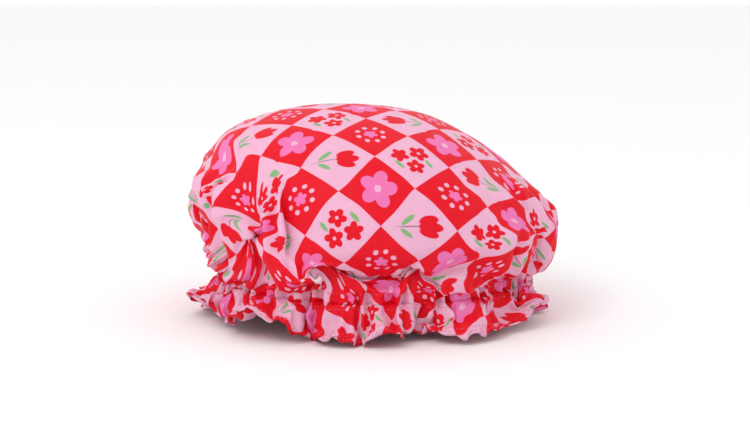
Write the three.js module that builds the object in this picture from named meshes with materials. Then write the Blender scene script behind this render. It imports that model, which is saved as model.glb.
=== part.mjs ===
// A fabric shower cap. A puffed crown of printed cloth, with a waterproof lining under it, is
// drawn in by an elastic band that runs in a taped casing, and a gathered frill stands out below.
// The cap stands on its frill: +Z is up, +X runs along its longer way, and Z = 0 is the hem.
import * as THREE from "three";

// Driving dimensions, in millimetres.
const crownWidth = 261; // across the puffed crown, along X
const crownDepth = 243; // across the puffed crown, along Y
const capHeight = 147; // from the hem to the top of the crown
const beltHeight = 68; // height of the crown's widest line
const mouthWidth = 202; // clear opening inside the casing tape, along X
const mouthDepth = 188; // clear opening inside the casing tape, along Y
const crownLean = 19; // how far the crown's top leans towards -X
const beltTilt = 9; // how far the widest line dips at +X and rises at -X
const puffSag = 9; // how far the puffs hang over the casing
const shoulderDrop = 5; // how far the crown's shoulder at +X lies below a round dome
const shoulderStart = 20; // where the shoulder starts, along X
const shoulderEnd = 118; // where it has its full drop

// Materials as thick as they lie in the cap, with the air that loose cloth holds.
const clothThickness = 0.8;
const liningThickness = 0.6;
const tapeThickness = 0.5;
const elasticThickness = 0.7;

// The casing: tape inside, crown cloth outside, and the elastic and the margins between them.
const elasticWidth = 6;
const elasticLap = 16; // length over which the band's two ends lie on each other
const seamMargin = 2; // width of cloth that each seam takes
const seatGap = 0.3; // between pieces that touch
const liningGap = 0.5; // between the crown cloth and its lining, which hang together
const edgeGap = 0.5; // between the elastic's edges and the margins above and below it

// The frill.
const frillWidth = 24; // from the casing to the edge, along the cloth
const frillFlare = 10; // how far its middle line swings out by the edge
const frillWaveDepth = 7.5; // how far a fold swings to each side of that line
const frillWaves = 22;
const hemWidth = 7;
const hemThickness = 1.3;
const hemFlat = 0.5; // how much of the lowest folds the table presses flat

// The crown's gathers. Each is a valley between two puffs of cloth, and a few run on upwards as
// long folds.
const gathers = 16;
const gatherDepth = 8;
const foldWidth = 14; // from a long fold's bottom to its side, measured round the crown
const foldDepth = 8;

// How finely each sheet is drawn.
const crownRings = 12;
const stepsPerWave = 6;
const bandSteps = 96;

// Sizes that follow from the ones above.
const casingHeight = elasticWidth + 2 * (seamMargin + edgeGap);
const casingBottom = frillWidth - hemFlat;
const casingTop = casingBottom + casingHeight;
const casingSpace = 2 * elasticThickness + 2 * seatGap;
const clothInside = tapeThickness + casingSpace; // from the mouth out to the cloth's inner face
const clothOutside = clothInside + clothThickness;

// Colours of the cloth, its lining and the notions.
const colours = {
  printedCloth: 0xf04a63,
  frillCloth: 0xf2607a,
  film: 0xf6e3ea,
  cottonTape: 0xf7f2f2,
  knittedElastic: 0xfbfbf8,
};

const fullTurn = 2 * Math.PI;
const quarterTurn = Math.PI / 2;
const frillSteps = frillWaves * stepsPerWave;
const { lerp, smoothstep, euclideanModulo } = THREE.MathUtils;

// A point of an oval that lies a distance outside the mouth.
function ovalPoint(angle, outside, height) {
  return new THREE.Vector3(
    (mouthWidth / 2 + outside) * Math.cos(angle),
    (mouthDepth / 2 + outside) * Math.sin(angle),
    height,
  );
}

// The crown's smooth form. Down is the share of the way from its top, at 0, to the casing, at 1.
const beltShare = 0.62; // how far down its widest line lies
const shoulderShare = 0.5; // how much of the dome's rise the shoulder's edge takes
const leftStartShare = 0.3; // how much of the way round to -X still hangs as the front does
const drawPower = 2; // how late the cloth draws in below the widest line
const leftDrawPower = 3.2; // the same at -X, where the cloth hangs straighter

function smoothCrown(angle, down) {
  const turn = Math.min(down / beltShare, 1) * quarterTurn;
  const rise = Math.cos(turn);
  const below = Math.max(down - beltShare, 0) / (1 - beltShare);
  const left = smoothstep(-Math.cos(angle), leftStartShare, 1);
  const drawn = below ** lerp(drawPower, leftDrawPower, left);
  const reachX = lerp(crownWidth / 2, mouthWidth / 2 + clothOutside, drawn);
  const reachY = lerp(crownDepth / 2, mouthDepth / 2 + clothOutside, drawn);
  const height = beltHeight + rise * (capHeight - beltHeight) - below * (beltHeight - casingTop);
  const tilt = beltTilt * Math.cos(angle) * Math.sin(turn) ** 3 * (1 - below);
  const x = reachX * Math.sin(turn) * Math.cos(angle) - crownLean * rise;
  const shoulder = smoothstep(x, shoulderStart, shoulderEnd) * smoothstep(rise, 0, shoulderShare);
  const y = reachY * Math.sin(turn) * Math.sin(angle);
  return new THREE.Vector3(x, y, height - tilt - shoulderDrop * shoulder);
}

const probeShare = 0.001; // a step along the surface, to find its slope

function crownNormal(angle, down) {
  if (down === 0) return new THREE.Vector3(0, 0, 1);
  const round = smoothCrown(angle + probeShare, down).sub(smoothCrown(angle - probeShare, down));
  const below = smoothCrown(angle, down + probeShare).sub(smoothCrown(angle, down - probeShare));
  return below.cross(round).normalize();
}

// The gathers are spaced unevenly, as hand-fed cloth is, and some reach higher than others.
const gatherStartShare = 0.56;
const gatherFullShare = 0.86;
const gatherVaryShare = 0.1; // how much sooner or later a gather starts
const casingShare = 0.93; // below this, the cloth flattens towards the casing

function gatherPhase(angle) {
  const crowding = 1.1 * Math.sin(2 * angle + 0.6) + 0.8 * Math.sin(5 * angle + 2.1);
  return (gathers * angle + crowding) / 2;
}

// Where the long folds lie, as a share of a full turn from +X, how far down they start and how
// deep they are beside the deepest.
const longFolds = [
  { turnShare: 0.04, startShare: 0.5, depthShare: 0.7 },
  { turnShare: 0.11, startShare: 0.44, depthShare: 0.9 },
  { turnShare: 0.222, startShare: 0.47, depthShare: 0.8 },
  { turnShare: 0.339, startShare: 0.45, depthShare: 0.8 },
  { turnShare: 0.405, startShare: 0.42, depthShare: 0.9 },
  { turnShare: 0.533, startShare: 0.48, depthShare: 0.8 },
  { turnShare: 0.585, startShare: 0.44, depthShare: 0.8 },
  { turnShare: 0.636, startShare: 0.4, depthShare: 1 },
  { turnShare: 0.849, startShare: 0.46, depthShare: 0.8 },
  { turnShare: 0.931, startShare: 0.4, depthShare: 1 },
];

function crownValley(angle, down) {
  const start = gatherStartShare + gatherVaryShare * Math.sin(3 * angle + 0.9);
  const valley = 1 - Math.abs(Math.cos(gatherPhase(angle)));
  let depth = gatherDepth * valley * smoothstep(down, start, gatherFullShare);
  for (const { turnShare, startShare, depthShare } of longFolds) {
    const away = euclideanModulo(angle / fullTurn - turnShare + 0.5, 1) - 0.5;
    const across = (away * Math.PI * crownWidth) / foldWidth;
    const fold = Math.exp(-across * across) * smoothstep(down, startShare, gatherFullShare);
    depth += foldDepth * depthShare * fold;
  }
  return depth * (1 - smoothstep(down, casingShare, 1));
}

// A point of the crown at a distance inside its outer face. The puffs sag over the casing.
const sagStartShare = 0.7;

function crownPoint(angle, down, inside) {
  const inwards = crownValley(angle, down) + inside;
  const hang = smoothstep(down, sagStartShare, casingShare) - smoothstep(down, casingShare, 1);
  const point = smoothCrown(angle, down).addScaledVector(crownNormal(angle, down), -inwards);
  point.z -= puffSag * hang * Math.abs(Math.cos(gatherPhase(angle)));
  return point;
}

// A round sheet is drawn in rings, each with as many more points than the last, so that its facets
// stay of one size. The last ring is the edge of the skirt that hangs down the casing.
const sectors = 8;
const skirtRing = crownRings;

function ringStart(ring) {
  return ring === 0 ? 0 : 1 + (sectors * ring * (ring - 1)) / 2;
}

function roundSheet(inside, skirt) {
  const points = [crownPoint(0, 0, inside)];
  for (let ring = 1; ring <= skirtRing; ring++) {
    const count = sectors * ring;
    for (let step = 0; step < count; step++) {
      const angle = (fullTurn * step) / count;
      points.push(
        ring === skirtRing
          ? ovalPoint(angle, clothOutside - inside, casingTop - skirt)
          : crownPoint(angle, ring / (skirtRing - 1), inside),
      );
    }
  }
  return points;
}

function sheetFaces() {
  const faces = [];
  for (let ring = 1; ring <= skirtRing; ring++) {
    const outer = (i) => ringStart(ring) + (i % (sectors * ring));
    const inner = (i) => (ring === 1 ? 0 : ringStart(ring - 1) + (i % (sectors * (ring - 1))));
    for (let sector = 0; sector < sectors; sector++) {
      for (let i = 0; i < ring; i++) {
        const out = sector * ring + i;
        const within = sector * (ring - 1) + i;
        faces.push([inner(within), outer(out), outer(out + 1)]);
        if (i < ring - 1) faces.push([inner(within), outer(out + 1), inner(within + 1)]);
      }
    }
  }
  return faces;
}

function geometryFrom(points, faces) {
  const geometry = new THREE.BufferGeometry().setFromPoints(points);
  geometry.setIndex(faces.flat());
  geometry.computeVertexNormals();
  return geometry;
}

// A domed layer of cloth, closed at its lower edge.
function domedLayer(outerInside, thickness, skirt) {
  const outer = roundSheet(outerInside, skirt);
  const inner = roundSheet(outerInside + thickness, skirt);
  const faces = sheetFaces();
  const innerFaces = faces.map(([a, b, c]) => [a + outer.length, c + outer.length, b + outer.length]);
  const edge = [];
  const first = ringStart(skirtRing);
  const count = sectors * skirtRing;
  for (let i = 0; i < count; i++) {
    const a = first + i;
    const b = first + ((i + 1) % count);
    edge.push([a, a + outer.length, b], [b, a + outer.length, b + outer.length]);
  }
  return geometryFrom([...outer, ...inner], [...faces, ...innerFaces, ...edge]);
}

// A body that runs round the mouth. Its outside and inside are lists of rows from the top down,
// and each row is a ring of points. Both sides split their facets the same way, so that layers
// that lie together stay parallel.
function bodyRound(outside, inside) {
  const rows = [...outside, ...inside.toReversed()];
  const count = rows[0].length;
  const faces = [];
  rows.forEach((_, row) => {
    const rising = row >= outside.length;
    const here = row * count;
    const next = ((row + 1) % rows.length) * count;
    for (let i = 0; i < count; i++) {
      const j = (i + 1) % count;
      const corner = rising ? next + j : here + j;
      const partner = rising ? here + i : next + i;
      faces.push([here + i, next + i, corner], [here + j, partner, next + j]);
    }
  });
  return geometryFrom(rows.flat(), faces);
}

// A row of points, set in from a path by a distance measured square to the path.
function rowAlong(path, steps, inside) {
  return Array.from({ length: steps }, (_, step) => {
    const angle = (fullTurn * (step + 0.5)) / steps;
    const along = path(angle + probeShare).sub(path(angle - probeShare));
    const outwards = new THREE.Vector3(along.y, -along.x, 0).normalize();
    return path(angle).addScaledVector(outwards, -inside);
  });
}

// A point of the frill's outer face at a distance down its cloth from the casing. Its folds are
// spaced unevenly, and some swing out further than others.
const waveVaryShare = 0.16;
const flarePower = 1.25; // how late the frill swings out

function frillPhase(angle) {
  return frillWaves * angle + 0.5 * Math.sin(3 * angle + 0.4) + 0.35 * Math.sin(7 * angle + 1.9);
}

function frillPoint(angle, downCloth) {
  const hanging = Math.max(downCloth, 0);
  const depth = frillWaveDepth * (1 + waveVaryShare * Math.sin(5 * angle + 2.2));
  const widest = frillFlare + depth * Math.cos(frillPhase(angle));
  const swing = widest * (hanging / frillWidth) ** flarePower;
  const drop = Math.sqrt(hanging ** 2 - swing ** 2);
  const height = downCloth < 0 ? casingBottom - downCloth : Math.max(casingBottom - drop, 0);
  return ovalPoint(angle, clothInside - seatGap + swing, height);
}

function frillRow(downCloth, inside) {
  return rowAlong((angle) => frillPoint(angle, downCloth), frillSteps, inside);
}

function makeFrillCloth() {
  const hemLine = frillWidth - hemWidth;
  const middle = (seatGap + hemLine) / 2;
  const outside = [-seamMargin, seatGap, middle, frillWidth].map((down) => frillRow(down, 0));
  const inside = [-seamMargin, seatGap, middle, hemLine].map((down) => frillRow(down, clothThickness));
  return bodyRound(outside, [...inside, frillRow(frillWidth, hemThickness)]);
}

// The frill's inner layer, from the casing down to the turned hem.
function makeFrillFacing() {
  const top = seatGap;
  const bottom = frillWidth - hemWidth;
  const middle = (top + bottom) / 2;
  const near = clothThickness + seatGap;
  const outside = [top, middle, bottom].map((down) => frillRow(down, near));
  const inside = [top, middle, bottom].map((down) => frillRow(down, near + clothThickness));
  return bodyRound(outside, inside);
}

function makeBand(outside, thicknessAt, bottom, height) {
  const edge = (inner, level) =>
    Array.from({ length: bandSteps }, (_, step) =>
      ovalPoint((fullTurn * step) / bandSteps, outside - (inner ? thicknessAt(step) : 0), level),
    );
  const side = (inner) => [edge(inner, bottom + height), edge(inner, bottom)];
  return bodyRound(side(false), side(true));
}

// The elastic is sewn into a ring, so that it is two layers thick where its ends lie together.
function makeElastic() {
  const stepLength = (Math.PI * (mouthWidth + mouthDepth)) / 2 / bandSteps;
  const lapCount = Math.round(elasticLap / stepLength);
  const start = Math.round(bandSteps / 4);
  const lapped = (step) => step >= start && step <= start + lapCount;
  const thickness = (step) => (lapped(step) ? 2 * elasticThickness : elasticThickness);
  const bottom = casingBottom + seamMargin + edgeGap;
  return makeBand(clothInside - seatGap, thickness, bottom, elasticWidth);
}

function makeTape() {
  return makeBand(tapeThickness, () => tapeThickness, casingBottom, casingHeight);
}

function addPiece(group, name, geometry, colour, roughness) {
  const material = new THREE.MeshStandardMaterial({ color: colour, roughness, metalness: 0 });
  const mesh = new THREE.Mesh(geometry, material);
  mesh.name = name;
  group.add(mesh);
}

const cap = new THREE.Group();
addPiece(cap, "crown_cloth", domedLayer(0, clothThickness, casingHeight), colours.printedCloth, 0.55);
addPiece(
  cap,
  "crown_lining",
  domedLayer(clothThickness + liningGap, liningThickness, seamMargin),
  colours.film,
  0.3,
);
addPiece(cap, "casing_tape", makeTape(), colours.cottonTape, 0.8);
addPiece(cap, "elastic_band", makeElastic(), colours.knittedElastic, 0.85);
addPiece(cap, "frill_cloth", makeFrillCloth(), colours.frillCloth, 0.55);
addPiece(cap, "frill_facing", makeFrillFacing(), colours.frillCloth, 0.55);

// The frame's origin lies under the middle of the whole cap, on the table.
const extent = new THREE.Box3().setFromObject(cap);
const middle = extent.getCenter(new THREE.Vector3());
cap.position.set(-middle.x, -middle.y, -extent.min.z);

export default cap;
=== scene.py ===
"""A gathered shower cap of printed satin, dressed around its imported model."""

import logging
import math
from collections.abc import Callable
from dataclasses import dataclass
from dataclasses import field
from dataclasses import replace
from enum import Enum

import bmesh
import bpy
import numpy as np
from mathutils import Matrix
from mathutils import Vector

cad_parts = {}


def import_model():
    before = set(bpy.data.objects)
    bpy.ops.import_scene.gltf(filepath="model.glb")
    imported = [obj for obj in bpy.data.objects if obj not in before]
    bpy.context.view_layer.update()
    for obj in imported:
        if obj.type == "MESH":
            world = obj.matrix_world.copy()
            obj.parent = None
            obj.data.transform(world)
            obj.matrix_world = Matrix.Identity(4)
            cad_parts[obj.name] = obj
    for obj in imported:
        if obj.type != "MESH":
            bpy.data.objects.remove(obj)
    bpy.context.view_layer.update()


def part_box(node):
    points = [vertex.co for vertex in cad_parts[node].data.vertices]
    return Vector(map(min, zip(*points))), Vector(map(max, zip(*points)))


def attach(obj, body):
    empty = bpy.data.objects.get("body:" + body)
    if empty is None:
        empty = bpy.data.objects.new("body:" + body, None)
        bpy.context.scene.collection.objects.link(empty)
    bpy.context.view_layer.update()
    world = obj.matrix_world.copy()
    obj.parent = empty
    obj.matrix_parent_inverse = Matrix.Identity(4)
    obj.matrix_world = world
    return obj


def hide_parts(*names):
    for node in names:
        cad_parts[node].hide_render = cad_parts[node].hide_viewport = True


LOG = logging.getLogger("shower_cap")
FULL_TURN = 2 * math.pi
BODY = "root"
TINY = 1e-12
NUDGE = 1e-9
MOTIF_EDGE = 0.008
FRONT_SHARE = 0.75
POINTS_PER_RING = 8


def smooth(low: float, high: float, value: np.ndarray) -> np.ndarray:
    """Rises softly from 0 at low to 1 at high.

    Args:
        low: Where the rise starts.
        high: Where the rise ends.
        value: Numbers to be turned into shares.

    Returns:
        One share for each number.
    """
    share = np.clip((value - low) / (high - low), 0, 1)
    return share * share * (3 - 2 * share)


def away(degrees: np.ndarray, middle: float) -> np.ndarray:
    """Turn from a middle direction, between minus and plus half a turn."""
    return (degrees - middle + 180) % 360 - 180


def lengths(points: np.ndarray) -> np.ndarray:
    """Length of each step round a closed row of points."""
    return np.linalg.norm(np.roll(points, -1, 0) - points, axis=1)


def unit(vectors: np.ndarray) -> np.ndarray:
    """The same directions with a length of one."""
    size = np.linalg.norm(vectors, axis=-1, keepdims=True)
    return vectors / np.maximum(size, TINY)


@dataclass(frozen=True)
class Sector:
    """A stretch of directions that fades out at both ends.

    Args:
        middle: Its middle in degrees, from the right side and round by the back.
        inner: Degrees to each side that belong to it in full.
        outer: Degrees to each side where it ends.
    """

    middle: float
    inner: float
    outer: float

    def share(self, degrees: np.ndarray) -> np.ndarray:
        """Share of each direction that belongs to the stretch."""
        return 1 - smooth(self.inner, self.outer, np.abs(away(degrees, self.middle)))


@dataclass(frozen=True)
class Sway:
    """A wave round the cap: how often it swings, how high, and its phase in radians."""

    count: int
    height: float
    phase: float = 0


def swayed(start: float | np.ndarray, turn: np.ndarray, sways: tuple[Sway, ...]) -> np.ndarray:
    """A value that sways round the cap.

    Args:
        start: The value without its waves.
        turn: Directions in radians.
        sways: The waves that come on top.

    Returns:
        One value for each direction.
    """
    for sway in sways:
        start = start + sway.height * np.sin(sway.count * turn + sway.phase)
    return start


@dataclass(frozen=True)
class LongFold:
    """One long fold that climbs from the casing into the crown.

    Args:
        at: Direction in degrees, from the right side and round by the back.
        before: Half width on the lower side of the direction, in degrees.
        after: Half width on the upper side, in degrees.
        start_share: Where it ends on the cloth, as a share of the way to the casing.
        run_share: How quickly it deepens from there.
        depth_share: Its depth beside the other folds.
        sharpness: How steep its two sides are.
    """

    at: float
    before: float
    after: float
    start_share: float
    run_share: float
    depth_share: float
    sharpness: float = 1.6

    def depth(self, degrees: np.ndarray, share: float) -> np.ndarray:
        """Depth of the fold round one ring of the cloth.

        Args:
            degrees: Directions in degrees.
            share: Share of the way from the middle of the cloth to the casing.

        Returns:
            One depth for each direction.
        """
        turn = away(degrees, self.at)
        width = np.where(turn < 0, self.before, self.after)
        across = np.exp(-np.abs(turn / width) ** self.sharpness)
        full_share = self.start_share + self.run_share
        return self.depth_share * across * smooth(self.start_share, full_share, share)


LONG_FOLDS = (
    LongFold(231, 6.5, 2.4, 0.49, 0.09, 4.5),
    LongFold(215, 3.0, 4.0, 0.66, 0.07, 2.6),
    LongFold(201, 4.0, 3.0, 0.64, 0.08, 2.3),
    LongFold(186, 4.0, 4.5, 0.60, 0.12, 1.9),
    LongFold(305.5, 1.6, 5.0, 0.54, 0.12, 1.2),
    LongFold(321, 3.0, 3.0, 0.64, 0.18, 0.9),
    LongFold(336, 5.0, 2.5, 0.47, 0.12, 2.4),
    LongFold(355, 4.0, 4.0, 0.60, 0.20, 1.0),
    LongFold(14, 4.5, 3.0, 0.50, 0.20, 1.1),
    LongFold(38, 3.0, 5.0, 0.47, 0.20, 1.3),
    LongFold(58, 4.0, 3.0, 0.58, 0.20, 0.9),
    LongFold(80, 3.0, 5.0, 0.50, 0.20, 1.2),
    LongFold(101, 4.0, 3.0, 0.60, 0.20, 0.9),
    LongFold(122, 5.0, 3.0, 0.50, 0.20, 1.0),
    LongFold(143, 3.0, 4.5, 0.46, 0.18, 1.2),
    LongFold(163, 4.0, 3.0, 0.54, 0.20, 0.9),
    LongFold(248, 3.5, 2.5, 0.70, 0.12, 1.0),
    LongFold(262, 2.0, 3.0, 0.74, 0.10, 1.1),
    LongFold(279, 3.0, 2.0, 0.74, 0.10, 1.2),
    LongFold(292, 3.0, 3.5, 0.69, 0.12, 1.4),
)


@dataclass
class CapOutline:
    """The envelope over the puffs of the cap: dome, overhang and the gathers above the casing."""

    front: Sector = Sector(270, 30, 60)
    left: Sector = Sector(185, 35, 65)
    right: Sector = Sector(0, 20, 60)
    lifted: Sector = Sector(272, 6, 18)
    bulging: Sector = Sector(271, 8, 19)
    sagging: tuple[Sector, ...] = (Sector(245, 4, 12), Sector(298, 4, 12))
    half_width: float = 0.1292
    half_depth: float = 0.1165
    belt_height: float = 0.0745
    dome_rise: float = 0.0705
    lean_share: float = 0.074
    middle_shift: float = -0.005
    right_slope: float = 0.011
    slope_start: float = 0.020
    slope_end: float = 0.118
    slope_top_share: float = 0.5
    casing_half_width: float = 0.1122
    casing_half_depth: float = 0.1050
    casing_top: float = 0.033
    neck_height: float = 0.0375
    front_neck_rise: float = 0.002
    left_neck_drop: float = 0.005
    right_neck_drop: float = 0.003
    neck_gap: float = 0.0012
    front_gap: float = 0.009
    neck_swing: float = 0.0035
    neck_sways: tuple[Sway, ...] = (Sway(6, 1, 0.4), Sway(11, 0.8, 1.9), Sway(17, 0.5, 0.8))
    sway_most: float = 1.5
    lobe_drop: float = 0.008
    lobe_rise: float = 0.005
    lobe_hang: float = 14
    left_bulge: float = 0.004
    left_bulge_share: float = 0.3
    right_bulge: float = -0.003
    right_bulge_share: float = 0.6
    hang_angle: float = 108
    front_hang: float = 2
    left_hang: float = -36
    right_hang: float = -16
    hang_swing: float = 11
    hang_sways: tuple[Sway, ...] = (Sway(8, 1, 2.6), Sway(13, 0.8, 0.7), Sway(19, 0.5, 2.2))
    cloth_to_casing: float = 0.2104
    skirt_spare_share: float = 0.5
    steps_down: int = 160
    steps_round: int = 720
    look_step: float = 0.002

    def __post_init__(self) -> None:
        """Works out the three curves of every direction once."""
        self.parts = [self.dome(), self.skirt(), self.gather()]
        self.arcs = [self.arc_lengths(part) for part in self.parts]
        self.cloth = self.cloth_lengths()
        self.known: dict[float, np.ndarray] = {}

    def directions(self) -> np.ndarray:
        """All directions in radians, as a column."""
        return np.linspace(0, FULL_TURN, self.steps_round, endpoint=False)[:, None]

    def places(self) -> tuple[np.ndarray, np.ndarray, np.ndarray]:
        """Shares of front, left and right for all directions."""
        degrees = np.degrees(self.directions())
        return self.front.share(degrees), self.left.share(degrees), self.right.share(degrees)

    def dome(self) -> np.ndarray:
        """Points of the dome, from the middle of the cloth to the widest line.

        Returns:
            Points by direction and by step.
        """
        turn = self.directions()
        down = np.linspace(0, math.pi / 2, self.steps_down)[None, :]
        x = self.middle_shift * (1 - np.sin(down)) + self.width(turn) * np.sin(down) * np.cos(turn)
        y = self.half_depth * np.sin(down) * np.sin(turn)
        z = self.belt_height + self.dome_rise * np.cos(down) - self.lean_share * x
        top = smooth(0, self.slope_top_share, np.cos(down))
        z = z - self.right_slope * smooth(self.slope_start, self.slope_end, x) * top
        return np.stack([x, y, z], -1)

    def top(self) -> np.ndarray:
        """The point over the middle of the cloth."""
        shift = self.middle_shift
        return np.array([shift, 0, self.belt_height + self.dome_rise - self.lean_share * shift])

    def width(self, turn: np.ndarray) -> np.ndarray:
        """Half width at the widest line, which is fuller at both sides."""
        left = self.left_bulge * smooth(self.left_bulge_share, 1, -np.cos(turn))
        return self.half_width + left + self.right_bulge * smooth(self.right_bulge_share, 1, np.cos(turn))

    def neck(self) -> np.ndarray:
        """Height where the overhang turns down into the gathers.

        Returns:
            One height for each direction.
        """
        front, left, right = self.places()
        sides = self.left_neck_drop * left + self.right_neck_drop * right
        turn = self.directions()
        swing = self.neck_swing * swayed(0, turn, self.neck_sways) * (1 - left) / self.sway_most
        lobes = self.lobe_drop * self.lobes() - self.lobe_rise * self.lifted.share(np.degrees(turn))
        return self.neck_height + self.front_neck_rise * front - sides + swing - lobes

    def lobes(self) -> np.ndarray:
        """Share of the two places at the front where the overhang sags the lowest."""
        degrees = np.degrees(self.directions())
        return sum(sector.share(degrees) for sector in self.sagging)

    def gap(self) -> np.ndarray:
        """How far the gathers stand out from the casing where the overhang ends."""
        return self.neck_gap + self.front_gap * self.bulging.share(np.degrees(self.directions()))

    def skirt(self) -> np.ndarray:
        """Points of the overhang, from the widest line to the neck.

        Returns:
            Points by direction and by step.
        """
        turn = self.directions()
        front, left, right = self.places()
        hang = self.hang_angle + self.front_hang * front + self.left_hang * left + self.right_hang * right
        swing = self.hang_swing * swayed(0, turn, self.hang_sways) * (1 - left)
        hang = np.radians(hang + swing - self.lobe_hang * self.lobes())
        steps = hang * np.linspace(0, 1, self.steps_down)[None, :]
        neck_width = self.casing_half_width + self.gap()
        neck_depth = self.casing_half_depth + self.gap()
        belt_width = self.width(turn)
        middle_width = (neck_width - belt_width * np.cos(hang)) / (1 - np.cos(hang))
        middle_depth = (neck_depth - self.half_depth * np.cos(hang)) / (1 - np.cos(hang))
        belt = self.belt_height - self.lean_share * belt_width * np.cos(turn)
        drop = (belt - self.neck()) / np.sin(hang)
        x = (middle_width + (belt_width - middle_width) * np.cos(steps)) * np.cos(turn)
        y = (middle_depth + (self.half_depth - middle_depth) * np.cos(steps)) * np.sin(turn)
        return np.stack([x, y, belt - drop * np.sin(steps)], -1)

    def gather(self) -> np.ndarray:
        """Points of the gathers, from the neck to the casing.

        Returns:
            Points by direction and by step.
        """
        turn = self.directions()
        share = np.linspace(0, 1, self.steps_down)[None, :]
        gap = self.gap() * (1 - share)
        x = (self.casing_half_width + gap) * np.cos(turn)
        y = (self.casing_half_depth + gap) * np.sin(turn)
        return np.stack([x, y, self.neck() + (self.casing_top - self.neck()) * share], -1)

    def arc_lengths(self, part: np.ndarray) -> np.ndarray:
        """Length along each direction's curve up to each of its points."""
        steps = np.linalg.norm(np.diff(part, axis=1), axis=2)
        return np.concatenate([np.zeros((self.steps_round, 1)), np.cumsum(steps, axis=1)], 1)

    def cloth_lengths(self) -> np.ndarray:
        """Cloth that each part gets in each direction: spare cloth goes into overhang and gathers.

        Returns:
            Three lengths for each direction.
        """
        arcs = np.stack([arc[:, -1] for arc in self.arcs], 1)
        total = arcs.sum(1, keepdims=True)
        spare = self.cloth_to_casing - total[:, 0]
        stretched = arcs * self.cloth_to_casing / total
        arcs[:, 1] += self.skirt_spare_share * spare
        arcs[:, 2] += (1 - self.skirt_spare_share) * spare
        return np.where(spare[:, None] < 0, stretched, arcs)

    def column(self, number: int, reach: float) -> list[float]:
        """Point of one direction at a distance along the cloth.

        Args:
            number: Which direction.
            reach: Distance from the middle of the cloth.

        Returns:
            The point's three coordinates.
        """
        for part, arc, cloth in zip(self.parts, self.arcs, self.cloth[number]):
            if reach <= cloth or part is self.parts[-1]:
                break
            reach -= cloth
        along = reach / cloth * arc[number, -1]
        return [np.interp(along, arc[number], part[number, :, axis]) for axis in range(3)]

    def points(self, share: float, turn: np.ndarray) -> np.ndarray:
        """Points of the envelope at a share of the cloth's way to the casing.

        Args:
            share: Share of the way, from 0 in the middle to 1 at the casing.
            turn: Directions in radians.

        Returns:
            One point for each direction.
        """
        key = round(float(share), 6)
        if key not in self.known:
            reach = share * self.cloth_to_casing
            row = np.array([self.column(number, reach) for number in range(self.steps_round)])
            self.known[key] = np.vstack([row, row[:1]])
        row = self.known[key]
        place = (turn % FULL_TURN) / FULL_TURN * self.steps_round
        steps = np.arange(self.steps_round + 1)
        return np.stack([np.interp(place, steps, row[:, axis]) for axis in range(3)], -1)

    def outward(self, share: float, turn: np.ndarray) -> np.ndarray:
        """Directions square to the envelope.

        Args:
            share: Share of the way from the middle of the cloth to the casing.
            turn: Directions in radians.

        Returns:
            One direction of length one for each point.
        """
        step = self.look_step
        down = self.points(min(share + step, 1), turn) - self.points(max(share - step, 0), turn)
        along = self.points(share, turn + step) - self.points(share, turn - step)
        return unit(np.cross(down, along))


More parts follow.
